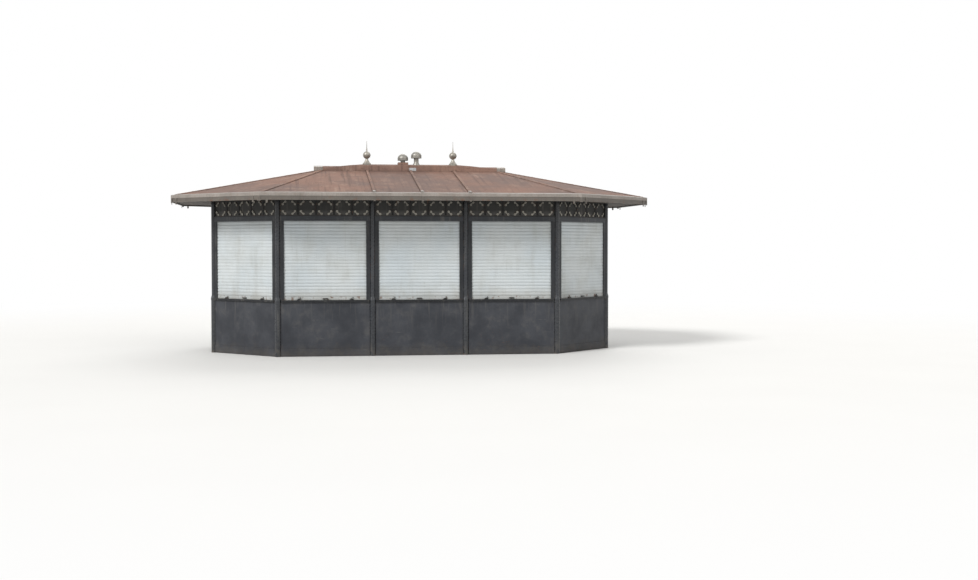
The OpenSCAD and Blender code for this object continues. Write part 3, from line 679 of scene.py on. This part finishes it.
def finish_piece(name, mesh, material, bevel=0.0, smooth=False):
    """Makes a piece of the mesh, in place, riding on the kiosk."""
    bmesh.ops.recalc_face_normals(mesh, faces=mesh.faces[:])
    data = bpy.data.meshes.new(name)
    mesh.to_mesh(data)
    mesh.free()
    for polygon in data.polygons:
        polygon.use_smooth = smooth
    piece = bpy.data.objects.new(name, data)
    bpy.context.scene.collection.objects.link(piece)
    data.materials.append(material)
    if bevel:
        modifier = piece.modifiers.new("soft edges", "BEVEL")
        modifier.width = bevel
        modifier.segments = 1
        modifier.limit_method = "ANGLE"
    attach(piece, "root")


def make_soffit_boards():
    """Boards under the eaves along every side, mitred at the corners, in staggered lengths."""
    first, width, gap, thick, rows = 0.062, 0.138, 0.005, 0.009, 5
    mesh = bmesh.new()
    grain = mesh.verts.layers.float_vector.new("grain")
    number = 0
    for side in SIDES:
        for row in range(rows):
            start = first + row * (width + gap)
            ends = (WALL + start, WALL + start + width)
            halves = [side.half_at(reach) - gap for reach in ends]
            joints = ()
            if side.straight:
                joints = SEAM_PLACES if row % 2 else (-BAY / 2, BAY / 2)
            cuts = [None, *joints, None]
            for left, right in zip(cuts, cuts[1:]):
                outline = []
                for reach, half in zip(ends, halves):
                    low = -half if left is None else left + gap / 2
                    high = half if right is None else right - gap / 2
                    outline.append((low, high, -reach))
                (a, b, near), (c, d, far) = outline
                corners = [(a, near), (c, far), (d, far), (b, near)]
                made = add_prism(mesh, side.centre, corners, SOFFIT_Z - thick, SOFFIT_Z)
                for ring in made:
                    for vert, (x, y) in zip(ring, corners):
                        vert[grain] = (x, y, number)
                number += 1
    finish_piece("soffit_boards", mesh, BOARDS, bevel=0.0015)


def scroll_bead():
    """The half-round bead on one scroll, as rings: a spiral on each eye, joined along the bar.

    It lies in the quarter of a square with positive X and Y.
    """
    sink, section_steps = 0.0005, 4
    turns, steps, wide, tight, thick, thin = 1.5, 16, 0.0165, 0.0038, 0.0038, 0.0028
    scroll_middle = spiral_start = math.pi / 4
    half_arc = SCROLL_RADIUS * (scroll_middle - SCROLL_START)
    # From the middle of the bar to the eye's centre: place along the ring and out from it, radius
    half = [(half_arc, 0.0, 0.0052), (0.0290, 0.0006, 0.0050), (0.0235, 0.0035, 0.0047),
            (0.0178, 0.0083, 0.0042)]
    for step in range(steps + 1):
        share = step / steps
        angle = spiral_start + 2 * math.pi * turns * share
        reach = wide + (tight - wide) * share
        radius = thick + (thin - thick) * share
        half.append((reach * math.cos(angle), reach * math.sin(angle), radius))
    path = []
    for eye_angle, way, part in ((SCROLL_START, 1, half[::-1]), (SCROLL_FINISH, -1, half[1:])):
        for along, out, radius in part:
            angle = eye_angle + way * along / SCROLL_RADIUS
            ray = Vector((math.cos(angle), math.sin(angle)))
            path.append((ray * (SCROLL_RADIUS + out), radius))
    rings = []
    for index, (point, radius) in enumerate(path):
        before, _ = path[max(index - 1, 0)]
        after, _ = path[min(index + 1, len(path) - 1)]
        run = (after - before).normalized()
        across = Vector((-run.y, run.x)) * radius
        ring = []
        for section in range(section_steps + 1):
            turn = math.pi * section / section_steps
            x, y = point + across * math.cos(turn)
            ring.append((x, y, radius * math.sin(turn) - sink))
        rings.append(ring)
    return rings


def make_frieze_beads():
    """A bead with two spirals on every scroll of the frieze, and a boss in the middle of each."""
    unit = 2 * FRIEZE_HALF / FRIEZE_UNITS
    boss = ((0.0058, -0.0005), (0.0054, 0.0024), (0.0038, 0.0043), (0.0016, 0.0050))
    rings = scroll_bead()
    eyes = [(SCROLL_RADIUS * math.cos(angle), SCROLL_RADIUS * math.sin(angle))
            for angle in (SCROLL_START, SCROLL_FINISH)]
    mesh = bmesh.new()
    for side, bay_x in BAYS:
        for index in range(FRIEZE_UNITS):
            x = bay_x + (index - (FRIEZE_UNITS - 1) / 2) * unit
            square = side.face(x, SCROLL_FACE, FRIEZE_MIDDLE)
            for mirror in ((1, 1), (-1, 1), (-1, -1), (1, -1)):
                quarter = square @ Matrix.Diagonal((*mirror, 1, 1))
                add_rings(mesh, [[quarter @ Vector(point) for point in ring] for ring in rings])
                for eye in eyes:
                    add_turned(mesh, quarter @ Matrix.Translation((*eye, 0)), boss, steps=8)
    finish_piece("frieze_beads", mesh, PAINTS["frieze"], smooth=True)


def make_panel_screws():
    """Pan heads down both edges of every panel and along its kick strip."""
    inset, heights = 0.028, (0.23, 0.49, 0.75, 1.005)
    kick_count, kick_z = 5, 0.55 * KICK_H
    reach = APRON_HALF - inset
    mesh = bmesh.new()
    for side, x in BAYS:
        for along in (-reach, reach):
            for z in heights:
                add_head(mesh, side.face(x + along, KICK_FACE - KICK_OUT, z), PAN_HEAD)
        for along in spaced(-reach, reach, kick_count):
            add_head(mesh, side.face(x + along, KICK_FACE, kick_z), PAN_HEAD)
    finish_piece("panel_screws", mesh, PAINTS["aprons"], smooth=True)


def make_guide_screws():
    """Flat heads down the face of every shutter guide and along the transom above."""
    count, above_sill, below_transom = 5, 0.14, 0.07
    transom_count, transom_inset = 6, 0.06
    guide_x = FRIEZE_HALF - GUIDE_W / 2
    transom_x = FRIEZE_HALF - transom_inset
    transom_middle = (TRANSOM_Z + FRIEZE_Z) / 2
    mesh = bmesh.new()
    for side, x in BAYS:
        for along in (-guide_x, guide_x):
            for z in spaced(SILL_Z + above_sill, TRANSOM_Z - below_transom, count):
                add_head(mesh, side.face(x + along, GUIDE_FACE, z), FLAT_HEAD)
        for along in spaced(-transom_x, transom_x, transom_count):
            add_head(mesh, side.face(x + along, GUIDE_FACE, transom_middle), FLAT_HEAD)
    finish_piece("guide_screws", mesh, PAINTS["guides"], smooth=True)


def make_lock_parts():
    """A key barrel and a slide knob on every bolt housing, and a pull in the middle of each bar."""
    knob_beside, knob_above, pull_above, pull_out = 0.024, 0.012, 0.018, 0.022
    barrel = ((0.0105, -0.001), (0.0105, 0.006), (0.009, 0.0075), (0.004, 0.0075), (0.0035, 0.005))
    knob = ((0.006, 0.0), (0.006, 0.010), (0.010, 0.012), (0.0105, 0.018), (0.007, 0.0215))
    pull = ((-0.055, 0.0), (0.055, 0.0), (0.048, 0.016), (-0.048, 0.016))
    clear_half = CURTAIN_HALF - CURTAIN_HOLD
    lock_x = 2 * clear_half * (0.5 - LOCK_PLACE)
    barrel_z = SILL_Z + LOCK_HEIGHT / 2
    knob_z = SILL_Z + LOCK_HEIGHT + knob_above
    mesh = bmesh.new()
    for side, x in BAYS:
        for along in (x - lock_x, x + lock_x):
            add_turned(mesh, side.face(along, LOCK_FACE, barrel_z), barrel, steps=14)
            add_turned(mesh, side.face(along + knob_beside, BAR_FACE, knob_z), knob, steps=12)
        add_prism(mesh, side.face(x, BAR_FACE, SILL_Z + pull_above), pull, 0.0, pull_out)
    finish_piece("lock_parts", mesh, PAINTS["locks"], bevel=0.0015)


def make_hip_rivets():
    """Domed rivets along both edges of every hip strip, down to the drip strip."""
    inset, spacing, foot_gap, top_reach = 0.032, 0.26, 0.06, 0.30
    lift = HIP_H * math.cos(PITCH)
    rows = int((LAP_LINE - foot_gap - top_reach) / spacing) + 1
    mesh = bmesh.new()
    for side in SIDES:
        for hand in (-1, 1):
            for row in range(rows):
                reach = LAP_LINE - foot_gap - row * spacing
                along = hand * (side.half_at(reach) - inset / math.cos(HALF_TURN))
                up = (RUN - reach) / math.cos(PITCH)
                add_head(mesh, side.slope(along, up, lift), HIP_RIVET)
    finish_piece("hip_rivets", mesh, PAINTS["roof_trim"], smooth=True)


def make_seam_caps():
    """A folded cap over the foot of every standing seam, with a tongue on the drip strip."""
    sheet, cover, tongue_w, edge_gap = 0.003, 0.10, 0.052, 0.005
    seam_top = SEAM_H * math.cos(PITCH)
    drip_top = DRIP_T * math.cos(PITCH)
    foot = (RUN - LAP_LINE) / math.cos(PITCH)
    inner = SEAM_W / 2
    outer = inner + sheet
    tongue_low = (-tongue_w / 2, edge_gap - foot, drip_top)
    tongue_high = (tongue_w / 2, -sheet, drip_top + sheet)
    mesh = bmesh.new()
    for side in (FRONT, BACK):
        for x in SEAM_PLACES:
            place = side.slope(x, foot, 0.0)
            add_block(mesh, place, (-outer, -sheet, seam_top), (outer, cover, seam_top + sheet))
            add_block(mesh, place, (-outer, -sheet, drip_top), (outer, 0.0, seam_top))
            for low_x, high_x in ((-outer, -inner), (inner, outer)):
                add_block(mesh, place, (low_x, 0.0, 0.0), (high_x, cover, seam_top))
            add_block(mesh, place, tongue_low, tongue_high)
    finish_piece("seam_caps", mesh, PAINTS["fascia"], bevel=0.001)


def make_ridge_sleeves():
    """A grey sleeve folded over each end of the ridge box."""
    sheet, length = 0.004, 0.18
    inner = RIDGE_HIGH.y
    outer = inner + sheet
    foot_z = RIDGE_Z - inner * math.tan(PITCH)
    outline = [
        (-outer, foot_z), (-inner, foot_z), (-inner, RIDGE_EDGE_Z), (0, RIDGE_TOP_Z),
        (inner, RIDGE_EDGE_Z), (inner, foot_z), (outer, foot_z),
        (outer, RIDGE_EDGE_Z + sheet), (0, RIDGE_TOP_Z + sheet), (-outer, RIDGE_EDGE_Z + sheet),
    ]
    along_ridge = Matrix.Rotation(math.radians(90), 4, "Z") @ STAND
    mesh = bmesh.new()
    for hand in (-1, 1):
        low_x, high_x = sorted((hand * RIDGE_HIGH.x, hand * (RIDGE_HIGH.x - length)))
        add_prism(mesh, along_ridge, outline, low_x, high_x)
    finish_piece("ridge_sleeves", mesh, SLEEVE_METAL, bevel=0.001)


def make_ridge_patch():
    """A small pale repair plate with four rivets on the front face of the ridge box."""
    centre_x, centre_z, width, height, sheet = 0.04, 3.700, 0.146, 0.065, 0.003
    rivet_x, rivet_y = 0.42 * width, 0.34 * height
    place = Matrix.Translation((centre_x, -RIDGE_HIGH.y, centre_z)) @ STAND
    mesh = bmesh.new()
    add_block(mesh, place, (-width / 2, -height / 2, 0), (width / 2, height / 2, sheet))
    for x in (-rivet_x, rivet_x):
        for y in (-rivet_y, rivet_y):
            add_head(mesh, place @ Matrix.Translation((x, y, sheet)), PATCH_RIVET)
    finish_piece("ridge_patch", mesh, PATCH_METAL, bevel=0.0008)


# Studio: strength of the even light, then each lamp's azimuth, elevation, strength and softness
AMBIENT = 0.5
LAMPS = {
    "key": (-48, 38, 2.3, 16),
    "fill": (40, 30, 0.45, 50),
    "back": (165, 42, 0.9, 40),
}


def seen_directly(tree):
    """1 for rays from the camera, in reflections and through glass, as one socket."""
    path = tree.nodes.new("ShaderNodeLightPath")
    total = path.outputs["Is Camera Ray"]
    for kind in ("Is Glossy Ray", "Is Transmission Ray"):
        node = tree.nodes.new("ShaderNodeMath")
        node.operation = "MAXIMUM"
        tree.links.new(total, node.inputs[0])
        tree.links.new(path.outputs[kind], node.inputs[1])
        total = node.outputs[0]
    return total


def make_floor():
    """A pale floor just under the ground line, that turns white far out beyond the shadows."""
    radius, steps, level, white_from, white_to = 220.0, 96, -0.001, 9.0, 24.0
    pale, paler = srgb(226, 225, 222), srgb(230, 229, 226)
    mesh = bmesh.new()
    angles = [2 * math.pi * index / steps for index in range(steps)]
    mesh.faces.new([
        mesh.verts.new((radius * math.cos(a), radius * math.sin(a), level)) for a in angles
    ])
    data = bpy.data.meshes.new("studio_floor")
    mesh.to_mesh(data)
    mesh.free()
    floor = bpy.data.objects.new("studio_floor", data)
    bpy.context.scene.collection.objects.link(floor)
    s = Shader("studio_floor", specular=0.2)
    s.finish(s.mix(s.noise(2.0), pale, paler), s.step(s.noise(0.5), 0, 1, 0.7, 0.8))
    far = s.step(s.vector("LENGTH", s.place), white_from, white_to)
    white = s.add("ShaderNodeEmission", {"Color": WHITE, "Strength": 1.0}).outputs[0]
    inputs = {0: s.times(far, seen_directly(s.tree)), 1: s.surface.outputs[0], 2: white}
    both = s.add("ShaderNodeMixShader", inputs).outputs[0]
    s.feed(s.tree.nodes["Material Output"].inputs["Surface"], both)
    data.materials.append(s.material)


def make_world():
    """Even light all round, seen as white."""
    world = bpy.data.worlds.new("studio")
    bpy.context.scene.world = world
    world.use_nodes = True
    tree = world.node_tree
    light = tree.nodes["Background"]
    light.inputs["Color"].default_value = WHITE
    light.inputs["Strength"].default_value = AMBIENT
    white = tree.nodes.new("ShaderNodeBackground")
    white.inputs["Color"].default_value = WHITE
    white.inputs["Strength"].default_value = 1.0
    both = tree.nodes.new("ShaderNodeMixShader")
    tree.links.new(seen_directly(tree), both.inputs[0])
    tree.links.new(light.outputs[0], both.inputs[1])
    tree.links.new(white.outputs[0], both.inputs[2])
    tree.links.new(both.outputs[0], tree.nodes["World Output"].inputs["Surface"])


def make_lamp(name, azimuth, elevation, strength, softness):
    """A soft far lamp. Azimuth 0 stands in front, and more goes round to the right."""
    data = bpy.data.lights.new(name, "SUN")
    data.energy = strength
    data.angle = math.radians(softness)
    lamp = bpy.data.objects.new(name, data)
    bpy.context.scene.collection.objects.link(lamp)
    a, e = math.radians(azimuth), math.radians(elevation)
    towards = Vector((math.sin(a) * math.cos(e), -math.cos(a) * math.cos(e), math.sin(e)))
    lamp.rotation_mode = "QUATERNION"
    lamp.rotation_quaternion = towards.to_track_quat("Z", "Y")


def make_camera():
    """Where the photograph was taken from: far in front, a little to the left, 2.1 m up."""
    frame_width, focal_pixels, sensor, clip_end = 978, 1310, 36.0, 600
    eye = (-2.222, -27.381, 2.1015)
    turned_right, tipped_down = 8.08, 1.905
    data = bpy.data.cameras.new("camera")
    data.sensor_width = sensor
    data.lens = focal_pixels * sensor / frame_width
    data.clip_end = clip_end
    camera = bpy.data.objects.new("camera", data)
    bpy.context.scene.collection.objects.link(camera)
    camera.location = eye
    camera.rotation_euler = (math.radians(90 - tipped_down), 0, math.radians(-turned_right))
    bpy.context.scene.camera = camera


make_soffit_boards()
make_frieze_beads()
make_panel_screws()
make_guide_screws()
make_lock_parts()
make_hip_rivets()
make_seam_caps()
make_ridge_sleeves()
make_ridge_patch()

make_floor()
make_world()
for lamp_name, lamp_settings in LAMPS.items():
    make_lamp(lamp_name, *lamp_settings)
make_camera()
bpy.context.scene.view_settings.view_transform = "Standard"
